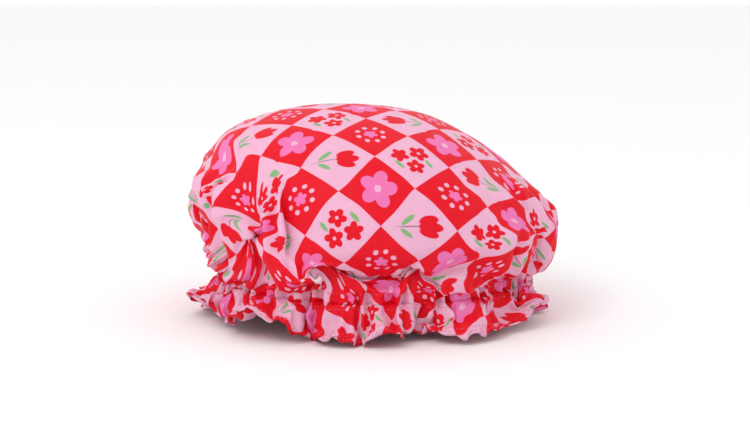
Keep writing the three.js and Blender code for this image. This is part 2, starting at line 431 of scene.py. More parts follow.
@dataclass
class FoldPlan:
    """How the spare cloth of each ring lies in folds before it settles."""

    most: float = 0.03
    wide_sways: tuple[Sway, ...] = (Sway(2, 1, 0.6), Sway(5, 1, 2.1))
    narrow_sways: tuple[Sway, ...] = (Sway(11, 1, 0.3), Sway(23, 1, 1.1))
    long_shares: tuple[float, float] = (0.86, 1)
    front: Sector = Sector(270, 33, 42)
    side: Sector = Sector(205, 20, 30)
    puckered: Sector = Sector(272, 12, 22)
    middle_folds: int = 37
    middle_share: float = 0.5
    middle_swings: tuple[float, float, float] = (1.2, 1.4, 0.5)
    middle_start_share: float = 0.66
    front_start_share: float = 0.11
    side_start_share: float = 0.06
    start_sways: tuple[Sway, ...] = (Sway(7, 0.04, 1), Sway(13, 0.03, 2))
    middle_run_share: float = 0.14
    middle_end_shares: tuple[float, float] = (0.92, 1)
    pucker_share: float = 0.8
    pleats: int = 66
    pleat_share: float = 0.95
    pleat_swings: tuple[float, float, float] = (1.5, 2.4, 1.6)
    pleat_start_share: float = 0.84
    pleat_sways: tuple[Sway, ...] = (Sway(9, 0.45, 1), Sway(16, 0.4, 2))
    crumple_depth: float = 0.0075
    crumple_shares: tuple[float, float] = (0.80, 0.90)
    crumple_end_shares: tuple[float, float] = (0.93, 1)
    calm: Sector = Sector(192, 34, 60)
    calm_share: float = 0.85
    crumple_share: float = 0.5
    crumple_sways: tuple[Sway, ...] = (Sway(11, 0.3, 1), Sway(17, 0.3, 2))
    crumple_pucker_share: float = 1.3
    small_sways: tuple[Sway, ...] = (Sway(26, 0.3, 0.5),)
    rolled: Sector = Sector(211, 22, 33)
    roll: float = 0.002
    roll_shares: tuple[float, float] = (0.58, 0.68)
    roll_end_shares: tuple[float, float] = (0.72, 0.76)
    hollow: float = 0.009
    hollow_shares: tuple[float, float] = (0.72, 0.78)
    hollow_end_shares: tuple[float, float] = (0.84, 0.93)

    def uneven(self, turn: np.ndarray, count: int, swings: tuple[float, float, float]) -> np.ndarray:
        """Phase of a number of folds that are not all equally wide.

        Args:
            turn: Directions in radians.
            count: How many folds there are.
            swings: How much each of the wide waves shifts them, and how much the narrow ones do.

        Returns:
            One phase for each direction.
        """
        *wide, narrow = swings
        sways = tuple(replace(sway, height=swing) for sway, swing in zip(self.wide_sways, wide))
        return count * turn + swayed(0, turn, sways) + narrow * swayed(0, turn, self.narrow_sways)

    def pleat_wave(self, turn: np.ndarray) -> np.ndarray:
        """Fine pleats at the casing, from 0 outside to minus 1 inside."""
        wave = 0.5 * np.cos(self.uneven(turn, self.pleats, self.pleat_swings)) - 0.5
        return swayed(1, turn, self.pleat_sways) * wave

    def heights(self, turn: np.ndarray, share: float) -> np.ndarray:
        """Unscaled height of the folds round one ring, where less than 0 is inwards.

        Args:
            turn: Directions in radians.
            share: Share of the way from the middle of the cloth to the casing.

        Returns:
            One height for each direction.
        """
        degrees = np.degrees(turn) % 360
        long_share = 1 - smooth(*self.long_shares, share)
        height = -long_share * sum(fold.depth(degrees, share) for fold in LONG_FOLDS)
        start = self.middle_start_share + self.front_start_share * self.front.share(degrees)
        start = swayed(start - self.side_start_share * self.side.share(degrees), turn, self.start_sways)
        middle = np.abs(np.cos(self.uneven(turn, self.middle_folds, self.middle_swings) / 2)) - 1
        middle_share = self.middle_share * (1 + self.pucker_share * self.puckered.share(degrees))
        middle_share = middle_share * smooth(0, self.middle_run_share, share - start)
        middle_share = middle_share * (1 - smooth(*self.middle_end_shares, share))
        pleat_share = self.pleat_share * smooth(self.pleat_start_share, 1, share)
        return height + middle_share * middle + pleat_share * self.pleat_wave(turn)

    def crumple(self, turn: np.ndarray, share: float) -> np.ndarray:
        """Outward swell of the cloth that is bunched above the casing.

        Args:
            turn: Directions in radians.
            share: Share of the way from the middle of the cloth to the casing.

        Returns:
            One swell in metres for each direction.
        """
        degrees = np.degrees(turn) % 360
        zone = smooth(*self.crumple_shares, share) * (1 - smooth(*self.crumple_end_shares, share))
        zone = zone * (1 - self.calm_share * self.calm.share(degrees))
        ways = swayed(self.crumple_share, turn, self.crumple_sways)
        ways = ways + self.crumple_pucker_share * self.puckered.share(degrees)
        return self.crumple_depth * zone * swayed(ways, turn, self.small_sways)

    def left_roll(self, turn: np.ndarray, share: float) -> np.ndarray:
        """Roll of cloth at the front left, with a hollow right under it.

        Args:
            turn: Directions in radians.
            share: Share of the way from the middle of the cloth to the casing.

        Returns:
            One swell in metres for each direction.
        """
        full = smooth(*self.roll_shares, share) * (1 - smooth(*self.roll_end_shares, share))
        low = smooth(*self.hollow_shares, share) * (1 - smooth(*self.hollow_end_shares, share))
        return self.rolled.share(np.degrees(turn) % 360) * (self.roll * full - self.hollow * low)


@dataclass(frozen=True)
class ClothMotion:
    """How the cloth moves while it settles, at the size at which it does."""

    quality: int = 8
    mass: float = 0.02
    weight_share: float = 0.2
    pressure: float = 0.8
    stiffness: float = 300
    shear_share: float = 0.125
    bending: float = 0.25
    fine_bending: float = 1.5
    damping: float = 10
    shear_damping: float = 5
    air_damping: float = 3
    meeting_distance: float = 0.012
    self_distance: float = 0.010
    meeting_quality: int = 2

    def apply(self, motion: bpy.types.ClothModifier, fine_share: float) -> None:
        """Gives the cloth its weight, its stiffness and the way it meets other things.

        Args:
            motion: The modifier that settles the cloth.
            fine_share: Step of the grid beside that of the coarse one.
        """
        cloth = motion.settings
        cloth.quality = self.quality
        cloth.mass = self.mass * fine_share * fine_share
        cloth.tension_stiffness = self.stiffness
        cloth.compression_stiffness = self.stiffness
        cloth.shear_stiffness = self.stiffness * self.shear_share
        cloth.bending_stiffness = self.bending if fine_share == 1 else self.fine_bending
        cloth.tension_damping = self.damping
        cloth.compression_damping = self.damping
        cloth.shear_damping = self.shear_damping
        cloth.air_damping = self.air_damping
        cloth.vertex_group_mass = "held"
        cloth.pin_stiffness = 1
        cloth.effector_weights.gravity = self.weight_share
        cloth.use_pressure = True
        cloth.uniform_pressure_force = self.pressure
        cloth.vertex_group_pressure = "filled"
        meeting = motion.collision_settings
        meeting.distance_min = self.meeting_distance
        meeting.use_self_collision = True
        meeting.self_distance_min = self.self_distance * fine_share
        meeting.vertex_group_self_collisions = "calm"
        meeting.collision_quality = self.meeting_quality


@dataclass
class CapCloth:
    """The one round of printed cloth: cut flat, folded into place and settled."""

    outline: CapOutline = field(default_factory=CapOutline)
    folds: FoldPlan = field(default_factory=FoldPlan)
    motion: ClothMotion = field(default_factory=ClothMotion)
    cut_radius: float = 0.2475
    rings: int = 60
    elastic_ring: int = 53
    casing_rings: int = 2
    casing_middle: float = 0.026
    casing_room: float = 0.0085
    free_room: float = 1
    room_shares: tuple[float, float] = (0.90, 0.98)
    level_shares: tuple[float, float] = (0.8, 0.95)
    fine_steps: int = 4096
    fit_rounds: int = 26
    least_fold: float = 1e-6
    frill_waves: int = 17
    frill_swings: tuple[float, float, float] = (1.3, 1.4, 0.6)
    frill_flare: float = 0.013
    flare_share: float = 0.5
    flare_sways: tuple[Sway, ...] = (Sway(4, 0.3, 2.2),)
    flare_low: Sector = Sector(0, 15, 45)
    flare_low_share: float = -0.5
    flare_front_left: Sector = Sector(229, 12, 28)
    flare_left_share: float = 0.8
    flare_front_right: Sector = Sector(311, 12, 28)
    flare_right_share: float = 1.1
    left_end: Sector = Sector(186, 8, 22)
    left_flare: float = 0.002
    wave_sharpness: float = 0.9
    wave_sways: tuple[Sway, ...] = (Sway(5, 0.25, 1), Sway(9, 0.2))
    wave_growth: float = 0.8
    frill_out_share: float = 0.45
    frill_room: float = 0.1
    frill_swing_back: float = 0.004
    least_drop_share: float = 0.25
    least_height: float = 0.0015
    scale: float = 10
    form_inset: float = 0.003
    form_sides: tuple[Sector, ...] = (Sector(207, 32, 50), Sector(338, 20, 38))
    form_side_weights: tuple[float, ...] = (1, 0.6)
    form_side_shares: tuple[float, float] = (0.42, 0.72)
    form_side_inset: float = 0.011
    form_low_shares: tuple[float, float] = (0.76, 0.88)
    form_low_inset: float = 0.016
    form_share: float = 0.92
    form_rows: int = 24
    form_steps: int = 72
    form_thickness: float = 0.02
    table_size: float = 5
    table_thickness: float = 0.01
    friction: float = 5
    frames: int = 25
    fine_frames: int = 6
    held_slack_share: float = 0.1
    calm_share: float = 0.5
    smoothings: int = 2
    rest_height: float = 0.0006

    @property
    def ring_step(self) -> float:
        """Distance between two rings of the flat cloth."""
        return self.cut_radius / self.rings

    def flat(self, rings: int) -> np.ndarray:
        """Flat places of a square grid that is drawn out to a round.

        Args:
            rings: Steps from the middle to the edge.

        Returns:
            An array of grid rows, grid columns and the two flat coordinates.
        """
        steps = np.arange(-rings, rings + 1, dtype=float)
        column, row = np.meshgrid(steps, steps, indexing="ij")
        wide = np.abs(column) >= np.abs(row)
        radius = np.where(wide, column, row)
        safe = np.where(radius == 0, 1, radius)
        angle = np.where(wide, row / safe, 2 - column / safe) * math.pi / 4
        flat = np.stack([radius * np.cos(angle), radius * np.sin(angle)], -1)
        return flat * self.cut_radius / rings

    def spread(self, row: np.ndarray, ring: int) -> np.ndarray:
        """Places a ring's points at equal steps of cloth, starting from the front.

        Args:
            row: Points of the ring, close together.
            ring: Which ring of the flat cut.

        Returns:
            The ring's grid points.
        """
        steps = lengths(row)
        along = np.concatenate([[0], np.cumsum(steps)])
        closed = np.vstack([row, row[:1]])
        count = POINTS_PER_RING * ring
        front = along[int(len(row) * FRONT_SHARE)] - along[-1] * FRONT_SHARE
        places = (np.arange(count) / count * along[-1] + front) % along[-1]
        return np.stack([np.interp(places, along, closed[:, axis]) for axis in range(3)], -1)

    def fitted(self, make: Callable[[float], np.ndarray], goal: float) -> np.ndarray:
        """Finds the fold depth at which a ring is as long as its cloth.

        Args:
            make: Gives the ring's points for a depth.
            goal: Length of the ring's cloth.

        Returns:
            The points of the ring that fits.
        """
        low = 0
        high = self.folds.most
        if lengths(make(low)).sum() >= goal:
            return make(low)
        for _ in range(self.fit_rounds):
            middle = (low + high) / 2
            if lengths(make(middle)).sum() < goal:
                low = middle
            else:
                high = middle
        return make(low)

    def crown_ring(self, ring: int) -> np.ndarray:
        """Starting points of a ring between the middle and the casing.

        Args:
            ring: Which ring of the flat cut.

        Returns:
            The ring's grid points.
        """
        last = self.elastic_ring - self.casing_rings
        share = min(ring / last, 1)
        turn = np.linspace(0, FULL_TURN, self.fine_steps, endpoint=False)
        row = self.outline.points(share, turn)
        if ring > last:
            down = (ring - last) / self.casing_rings
            row[:, 2] = self.outline.casing_top + (self.casing_middle - self.outline.casing_top) * down
        level = np.stack([np.cos(turn), np.sin(turn), 0 * turn], -1)
        level_share = smooth(*self.level_shares, share)
        out = unit(self.outline.outward(share, turn) * (1 - level_share) + level * level_share)
        swell = self.folds.crumple(turn, share) + self.folds.left_roll(turn, share)
        row = row + out * swell[:, None]
        heights = self.folds.heights(turn, share)
        if np.abs(heights).max() < self.least_fold:
            return self.spread(row, ring)
        room = self.casing_room + self.free_room - smooth(*self.room_shares, share) * self.free_room

        def make(depth: float) -> np.ndarray:
            """The ring with folds of one depth, which stop short of the elastic."""
            return row + out * np.maximum(depth * heights, -room)[:, None]

        return self.spread(self.fitted(make, FULL_TURN * self.ring_step * ring), ring)

    def frill_ring(self, ring: int) -> np.ndarray:
        """Starting points of a ring between the casing and the hem.

        Args:
            ring: Which ring of the flat cut.

        Returns:
            The ring's grid points.
        """
        share = (ring - self.elastic_ring) / (self.rings - self.elastic_ring)
        down = self.ring_step * (ring - self.elastic_ring)
        turn = np.linspace(0, FULL_TURN, self.fine_steps, endpoint=False)
        level = np.stack([np.cos(turn), np.sin(turn), 0 * turn], -1)
        degrees = np.degrees(turn) % 360
        lift = swayed(self.flare_share, turn, self.flare_sways)
        lift = lift + self.flare_low_share * self.flare_low.share(degrees)
        lift = lift + self.flare_left_share * self.flare_front_left.share(degrees)
        lift = lift + self.flare_right_share * self.flare_front_right.share(degrees)
        flare = (self.frill_flare * lift + self.left_flare * self.left_end.share(degrees)) * share
        middle = np.array([self.outline.casing_half_width, self.outline.casing_half_depth, 0])
        phase = self.folds.uneven(turn, self.frill_waves, self.frill_swings)
        wave = np.abs(np.cos(phase / 2)) ** self.wave_sharpness - 1
        wave = wave * swayed(1, turn, self.wave_sways)
        wave_share = share**self.wave_growth
        pleats = self.folds.pleat_wave(turn) * self.folds.pleat_share
        heights = pleats * (1 - wave_share) + (wave + self.frill_out_share) * wave_share

        def make(depth: float) -> np.ndarray:
            """The ring with folds of one depth, hanging as far as its cloth reaches.

            Args:
                depth: Depth of the folds.

            Returns:
                The ring's points.
            """
            folds = np.maximum(depth * heights, -self.casing_room - self.frill_room * share)
            row = level * (middle + (flare + folds)[:, None])
            back = level * (middle - self.frill_swing_back)
            swing = np.linalg.norm(row, axis=1) - np.linalg.norm(back, axis=1)
            drop = np.sqrt(np.maximum(down**2 - swing**2, (self.least_drop_share * down) ** 2))
            row[:, 2] = np.maximum(self.casing_middle - drop, self.least_height)
            return row

        return self.spread(self.fitted(make, FULL_TURN * self.ring_step * ring), ring)

    def start(self) -> np.ndarray:
        """Starting places of the whole grid, folded to the cloth's true lengths.

        Returns:
            An array of grid rows, grid columns and three coordinates.
        """
        size = self.rings
        flat = self.flat(size)
        places = np.zeros((2 * size + 1, 2 * size + 1, 3))
        places[size, size] = self.outline.top()
        steps = np.arange(-size, size + 1)
        ring_of = np.maximum(np.abs(steps)[:, None], np.abs(steps)[None, :])
        turn = np.arctan2(flat[..., 1], flat[..., 0]) % FULL_TURN
        for ring in range(1, size + 1):
            row = self.crown_ring(ring) if ring <= self.elastic_ring else self.frill_ring(ring)
            here = ring_of == ring
            count = POINTS_PER_RING * ring
            places[here] = row[np.rint(turn[here] / FULL_TURN * count).astype(int) % count]
        return places

    def inner_form(self) -> bpy.types.Object:
        """A body under the crown that the cloth rests on while it settles.

        Returns:
            The body.
        """
        made = bmesh.new()
        turn = np.linspace(0, FULL_TURN, self.form_steps, endpoint=False)
        degrees = np.degrees(turn) % 360
        sides = zip(self.form_side_weights, self.form_sides)
        side = sum(weight * sector.share(degrees) for weight, sector in sides)
        rows = []
        for row in range(1, self.form_rows + 1):
            share = self.form_share * row / self.form_rows
            inset = self.form_inset + side * smooth(*self.form_side_shares, share) * self.form_side_inset
            inset = inset + smooth(*self.form_low_shares, share) * self.form_low_inset
            points = self.outline.points(share, turn) - self.outline.outward(share, turn) * inset[:, None]
            rows.append([made.verts.new(Vector(point) * self.scale) for point in points])
        top = made.verts.new(Vector(self.outline.top() - [0, 0, self.form_inset]) * self.scale)
        for step in range(self.form_steps):
            after = (step + 1) % self.form_steps
            made.faces.new((top, rows[0][step], rows[0][after]))
            for upper, lower in zip(rows, rows[1:]):
                made.faces.new((upper[step], lower[step], lower[after], upper[after]))
        return self.solid("inner_form", made, self.form_thickness)

    def solid(self, name: str, made: bmesh.types.BMesh, thickness: float) -> bpy.types.Object:
        """Turns a mesh in the making into a body that cloth can't pass.

        Args:
            name: Name of the body.
            made: The mesh in the making, which is freed.
            thickness: How near the cloth comes.

        Returns:
            The body.
        """
        mesh = bpy.data.meshes.new(name)
        made.to_mesh(mesh)
        made.free()
        body = bpy.data.objects.new(name, mesh)
        bpy.context.scene.collection.objects.link(body)
        body.modifiers.new("rest", "COLLISION")
        body.collision.thickness_outer = thickness
        body.collision.cloth_friction = self.friction
        return body

    def table(self) -> bpy.types.Object:
        """The level on which the frill stands while it settles.

        Returns:
            The body.
        """
        made = bmesh.new()
        bmesh.ops.create_grid(made, x_segments=2, y_segments=2, size=self.table_size)
        return self.solid("table", made, self.table_thickness)

    def sheet(self, places: np.ndarray, rings: int) -> bpy.types.Object:
        """The cloth as one mesh, with its flat cut kept as the shape it wants to take.

        Args:
            places: Starting places of the grid.
            rings: Rings of the grid.

        Returns:
            The object with its shapes and groups.
        """
        made = bmesh.new()
        bmesh.ops.create_grid(made, x_segments=2 * rings, y_segments=2 * rings, size=rings)
        mesh = bpy.data.meshes.new("settling")
        made.to_mesh(mesh)
        made.free()
        cloth = bpy.data.objects.new("settling", mesh)
        bpy.context.scene.collection.objects.link(cloth)
        grid = np.zeros(len(mesh.vertices) * 3)
        mesh.vertices.foreach_get("co", grid)
        order = np.rint(grid.reshape(-1, 3)[:, :2]).astype(int) + rings
        flat = self.flat(rings)[order[:, 0], order[:, 1]]
        mesh.vertices.foreach_set("co", (places[order[:, 0], order[:, 1]] * self.scale).ravel())
        cloth.shape_key_add(name="Basis")
        cut = cloth.shape_key_add(name="cut")
        flat_points = np.concatenate([flat, np.zeros((len(flat), 1))], 1) * self.scale
        cut.data.foreach_set("co", flat_points.ravel())
        radius = np.linalg.norm(flat, axis=1)
        last = self.elastic_ring * self.ring_step
        slack = self.ring_step * self.held_slack_share
        held = (radius > last - self.casing_rings * self.ring_step - slack) & (radius < last + slack)
        calm = radius < last * self.calm_share
        for name, chosen in (("held", held), ("calm", calm), ("filled", radius < last)):
            group = cloth.vertex_groups.new(name=name)
            group.add(np.nonzero(chosen)[0].tolist(), 1, "REPLACE")
        return cloth

    def settle(self, places: np.ndarray, rings: int, frames: int) -> np.ndarray:
        """Lets the folded cloth settle under its weight and a little air inside.

        Args:
            places: Starting places of the grid.
            rings: Rings of the grid.
            frames: How many frames it gets.

        Returns:
            The settled places.
        """
        cloth = self.sheet(places, rings)
        helpers = [self.inner_form(), self.table()]
        motion = cloth.modifiers.new("settle", "CLOTH")
        self.motion.apply(motion, self.rings / rings)
        motion.settings.rest_shape_key = cloth.data.shape_keys.key_blocks["cut"]
        motion.point_cache.frame_start = 1
        motion.point_cache.frame_end = frames
        scene = bpy.context.scene
        scene.frame_start = 1
        scene.frame_end = frames
        for frame in range(1, frames + 1):
            scene.frame_set(frame)
        seen = cloth.evaluated_get(bpy.context.evaluated_depsgraph_get())
        points = np.zeros(len(cloth.data.vertices) * 3)
        seen.data.vertices.foreach_get("co", points)
        size = 2 * rings + 1
        settled = points.reshape(-1, 3) / self.scale
        for helper in (cloth, *helpers):
            bpy.data.objects.remove(helper)
        scene.frame_set(1)
        return settled.reshape(size, size, 3).transpose(1, 0, 2)

    def softened(self, places: np.ndarray) -> np.ndarray:
        """Takes out creases that are no larger than the grid's own steps, but fewer in the frill.

        Args:
            places: The settled places.

        Returns:
            The softened places.
        """
        size = places.shape[0] // 2
        steps = np.abs(np.arange(-size, size + 1))
        ring = np.maximum(steps[:, None], steps[None, :]) * self.rings / size
        frill = smooth(self.elastic_ring - self.casing_rings, self.elastic_ring, ring)[..., None]
        for number in range(self.smoothings):
            soft = places
            for _ in range(2):
                inner = (soft[:-2] + 2 * soft[1:-1] + soft[2:]) / 4
                soft = np.concatenate([soft[:1], inner, soft[-1:]]).transpose(1, 0, 2)
            kept = frill * min(number, 1)
            places = soft + (places - soft) * kept
        return self.grounded(places)

    def grounded(self, places: np.ndarray) -> np.ndarray:
        """Lets the frill down until its lowest fold rests.

        Args:
            places: The settled places.

        Returns:
            The places, resting on the table.
        """
        height = places[..., 2]
        share = np.clip(1 - height / self.casing_middle, 0, 1) / (1 - height.min() / self.casing_middle)
        down = (height.min() - self.rest_height) * share
        return places - down[..., None] * np.array([0, 0, 1])

    def finer(self, places: np.ndarray) -> np.ndarray:
        """Halves the steps of the grid along curves through its points.

        Args:
            places: Places of the coarse grid.

        Returns:
            Places of a grid with twice as many steps.
        """
        for _ in range(2):
            size = places.shape[0]
            fine = np.zeros((2 * size - 1, *places.shape[1:]))
            fine[::2] = places
            padded = np.concatenate([2 * places[:1] - places[1:2], places, 2 * places[-1:] - places[-2:-1]])
            fine[1::2] = (9 * (padded[1:-2] + padded[2:-1]) - padded[:-3] - padded[3:]) / 16
            places = fine.transpose(1, 0, 2)
        return places


@dataclass
class SettledCloth:
    """The settled cloth, read by ring and by share of the turn."""

    places: np.ndarray
    cut: CapCloth

    def __post_init__(self) -> None:
        """Lays the grid's points out ring by ring."""
        self.rings = (self.places.shape[0] - 1) // 2
        along_x = np.gradient(self.places, axis=0)
        along_y = np.gradient(self.places, axis=1)
        normals = unit(np.cross(along_x, along_y))
        cells = [self.ring_cells(ring) for ring in range(self.rings + 1)]
        columns = np.concatenate([cell[0] for cell in cells]) + self.rings
        rows = np.concatenate([cell[1] for cell in cells]) + self.rings
        self.points = self.places[columns, rows]
        self.normals = normals[columns, rows]
        bends = [self.bend(normals, steps, axis) for axis, steps in enumerate((along_x, along_y))]
        self.rooms = 1 / np.maximum(np.maximum(*bends)[columns, rows], 1)

    def bend(self, normals: np.ndarray, steps: np.ndarray, axis: int) -> np.ndarray:
        """How sharply the cloth bends outwards along one way of the grid, per metre."""
        turned = (np.gradient(normals, axis=axis) * steps).sum(-1)
        return turned / np.maximum((steps**2).sum(-1), TINY)

    def room(self, ring: np.ndarray, turn_share: np.ndarray) -> np.ndarray:
        """Radius of the tightest ridge at places on the cloth."""
        first, count = self.row(np.clip(np.rint(ring).astype(int), 0, self.rings))
        return self.rooms[first + np.rint(turn_share * count).astype(int) % count]

    def row(self, ring: np.ndarray) -> tuple[np.ndarray, np.ndarray]:
        """First point of each whole ring, and how many points it has."""
        first = np.where(ring > 0, 1 + POINTS_PER_RING * ring * (ring - 1) // 2, 0)
        return first, np.maximum(POINTS_PER_RING * ring, 1)

    def ring_cells(self, ring: int) -> tuple[np.ndarray, np.ndarray]:
        """Grid columns and rows of one ring, in the order of its turn.

        Args:
            ring: Which ring of the settled grid.

        Returns:
            Columns and rows.
        """
        if ring == 0:
            return np.zeros(1, int), np.zeros(1, int)
        up = np.arange(-ring, ring)
        down = up[::-1] + 1
        full = np.full(2 * ring, ring)
        columns = np.concatenate([full[:ring], down, -full, up, full[ring:]])
        rows = np.concatenate([up[ring:], full, down, -full, up[:ring]])
        return columns, rows

    def on_ring(self, ring: np.ndarray, turn_share: np.ndarray) -> tuple[np.ndarray, np.ndarray]:
        """Points and outward directions on whole rings.

        Args:
            ring: Whole rings.
            turn_share: Shares of the turn.

        Returns:
            The points, and the directions square to the cloth.
        """
        first, count = self.row(ring)
        place = (turn_share % 1) * count
        step = np.floor(place).astype(int)
        part = (place - step)[:, None]
        here = first + step % count
        after = first + (step + 1) % count
        points = self.points[here] * (1 - part) + self.points[after] * part
        return points, self.normals[here] * (1 - part) + self.normals[after] * part

    def at(self, ring: np.ndarray, turn_share: np.ndarray) -> tuple[np.ndarray, np.ndarray]:
        """Points and outward directions anywhere on the cloth.

        Args:
            ring: Distances from the middle, in rings.
            turn_share: Shares of the turn.

        Returns:
            The points and the directions square to the cloth.
        """
        ring = np.clip(ring, 0, self.rings)
        lower = np.minimum(np.floor(ring + NUDGE).astype(int), self.rings - 1)
        part = (ring - lower)[:, None]
        inner = self.on_ring(lower, turn_share)
        outer = self.on_ring(lower + 1, turn_share)
        points = inner[0] * (1 - part) + outer[0] * part
        return points, unit(inner[1] * (1 - part) + outer[1] * part)

    def fine(self, ring: float) -> float:
        """The ring of the settled grid that stands for a ring of the cut."""
        return ring * self.rings / self.cut.rings


def ring_and_turn(grid: np.ndarray) -> tuple[np.ndarray, np.ndarray]:
    """Ring and share of the turn for places on the square grid.

    Args:
        grid: Places on the square grid.

    Returns:
        The rings and the shares of the turn.
    """
    x, y = grid[:, 0], grid[:, 1]
    ring = np.maximum(np.abs(x), np.abs(y))
    safe = np.where(ring < NUDGE, 1, ring)
    wide = np.abs(x) >= np.abs(y)
    right = np.where(x > 0, y / safe, 4 - y / safe)
    top = np.where(y > 0, 2 - x / safe, 6 + x / safe)
    return ring, (np.where(wide, right, top) / POINTS_PER_RING) % 1


def finished(name: str, made: bmesh.types.BMesh) -> bpy.types.Object:
    """Turns a mesh in the making into a smooth object at the origin.

    Args:
        name: Name of the piece.
        made: The mesh in the making, which is freed.

    Returns:
        The new object.
    """
    mesh = bpy.data.meshes.new(name)
    made.to_mesh(mesh)
    made.free()
    mesh.polygons.foreach_set("use_smooth", [True] * len(mesh.polygons))
    piece = bpy.data.objects.new(name, mesh)
    bpy.context.scene.collection.objects.link(piece)
    return piece


@dataclass
class ClothLayer:
    """One layer of the cap that follows the settled cloth between two rings."""

    name: str
    slot: str
    node: str
    first_ring: float
    last_ring: float
    inset: float
    thickness: float
    held: str = "gathered"
    hem_depth: float = 0
    hem_gap: float = 0.0007
    hem_turn: float = 0.12
    hem_steps: int = 4
    hem_ease: float = 0.4
    room_share: float = 0.4

    def build(self, cloth: SettledCloth) -> bpy.types.Object:
        """Makes the layer's mesh, with the flat cut as its UV map.

        Args:
            cloth: The settled cloth.

        Returns:
            The finished piece.
        """
        first = round(cloth.fine(self.first_ring))
        last = round(cloth.fine(self.last_ring))
        made = bmesh.new()
        bmesh.ops.create_grid(made, x_segments=2 * last, y_segments=2 * last, size=last)
        gone = [face for face in made.faces if self.ring(face.calc_center_median()) < first]
        bmesh.ops.delete(made, geom=gone, context="FACES")
        if self.hem_depth > 0:
            self.turn_hem(made, cloth, last)
        self.lay(made, cloth, last)
        piece = finished(self.name, made)
        wall = piece.modifiers.new("thickness", "SOLIDIFY")
        wall.thickness = self.thickness
        wall.offset = -1
        wall.use_quality_normals = True
        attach(piece, BODY)
        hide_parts(self.node)
        return piece

    def ring(self, place: Vector) -> float:
        """Ring of a place on the square grid."""
        return max(abs(place.x), abs(place.y))

    def turn_hem(self, made: bmesh.types.BMesh, cloth: SettledCloth, last: int) -> None:
        """Folds the outer edge back under the layer, in grid steps.

        Args:
            made: The mesh in the making.
            cloth: The settled cloth.
            last: Outermost ring of the layer.
        """
        depth = self.hem_depth / (cloth.cut.cut_radius / cloth.rings)
        rims = [edge for edge in made.edges if edge.is_boundary]
        edges = [rim for rim in rims if self.ring((rim.verts[0].co + rim.verts[1].co) / 2) > last - 0.5]
        inward = [self.hem_turn, *(depth * (step + 1) / self.hem_steps for step in range(self.hem_steps))]
        for step in inward:
            new = bmesh.ops.extrude_edge_only(made, edges=edges)["geom"]
            edges = [item for item in new if isinstance(item, bmesh.types.BMEdge)]
            for vertex in (item for item in new if isinstance(item, bmesh.types.BMVert)):
                vertex.co.xy *= (last - step) / self.ring(vertex.co)
                vertex.co.z = 1

    def lay(self, made: bmesh.types.BMesh, cloth: SettledCloth, last: int) -> None:
        """Moves the grid to its settled place and writes its UV map.

        Args:
            made: The mesh in the making.
            cloth: The settled cloth.
            last: Outermost ring of the layer.
        """
        made.verts.index_update()
        grid = np.array([vertex.co for vertex in made.verts])
        ring, turn_share = ring_and_turn(grid)
        points, normals = cloth.at(ring, turn_share)
        under = grid[:, 2] > 0.5
        tucked = (self.thickness + self.hem_gap) * np.clip((last - ring) / self.hem_ease, 0, 1)
        room = cloth.room(ring, turn_share) * self.room_share
        inset = np.minimum(self.inset, room) + np.where(under, tucked, 0)
        points = points - normals * inset[:, None]
        cut_ring = np.where(under, 2 * last - ring, ring) * cloth.cut.cut_radius / cloth.rings
        turn = turn_share * FULL_TURN
        flat = np.stack([cut_ring * np.cos(turn), cut_ring * np.sin(turn)], 1)
        layer = made.loops.layers.uv.new("UVMap")
        for face in made.faces:
            for loop in face.loops:
                loop[layer].uv = flat[loop.vert.index]
        for vertex, point in zip(made.verts, points):
            vertex.co = point


@dataclass
class StitchRow:
    """One row of thread that follows a ring of the cloth."""

    name: str
    slot: str
    ring: float
    pitch: float = 0.0034
    stitch: float = 0.0026
    thread: float = 0.0004
    sides: int = 6
    rows: int = 4
    bunch: int = 24
    reach: float = 0.0006
    measures: int = 16

    def build(self, cloth: SettledCloth) -> bpy.types.Object:
        """Makes the row as short lengths of thread that lie on the cloth.

        Args:
            cloth: The settled cloth.

        Returns:
            The finished piece.
        """
        ring = cloth.fine(self.ring)
        share = np.linspace(0, 1, self.measures * cloth.rings, endpoint=False)
        along = np.concatenate([[0], np.cumsum(lengths(self.points(cloth, ring, share)))])
        count = round(along[-1] / self.pitch)
        wanted = (np.arange(count) + 0.5) * along[-1] / count
        places = np.interp(wanted, along, np.append(share, 1))
        step = self.reach / along[-1]
        middle, normals = cloth.at(np.full(count, ring), places)
        before = self.points(cloth, ring, places - step)
        tangents = unit(self.points(cloth, ring, places + step) - before)
        across = unit(np.cross(normals, tangents))
        upward = np.cross(tangents, across)
        frames = np.tile(np.eye(4), (count, 1, 1))
        frames[:, :3, 0] = tangents * self.stitch / 2
        frames[:, :3, 1] = across * self.thread / 2
        frames[:, :3, 2] = upward * self.thread / 2
        frames[:, :3, 3] = middle + upward * self.thread / 4
        piece = finished(self.name, self.sewn(frames))
        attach(piece, BODY)
        return piece

    def sewn(self, frames: np.ndarray) -> bmesh.types.BMesh:
        """All stitches of the row, made a bunch at a time.

        Args:
            frames: One placing for each stitch.

        Returns:
            The mesh in the making.
        """
        made = bmesh.new()
        for first in range(0, len(frames), self.bunch):
            part = bmesh.new()
            for frame in frames[first : first + self.bunch]:
                bmesh.ops.create_uvsphere(
                    part, u_segments=self.sides, v_segments=self.rows, radius=1, matrix=Matrix(frame)
                )
            mesh = bpy.data.meshes.new("stitches")
            part.to_mesh(mesh)
            part.free()
            made.from_mesh(mesh)
            bpy.data.meshes.remove(mesh)
        return made

    def points(self, cloth: SettledCloth, ring: float, share: np.ndarray) -> np.ndarray:
        """Points of the cloth round the row's ring."""
        return cloth.at(np.full(len(share), ring), share)[0]


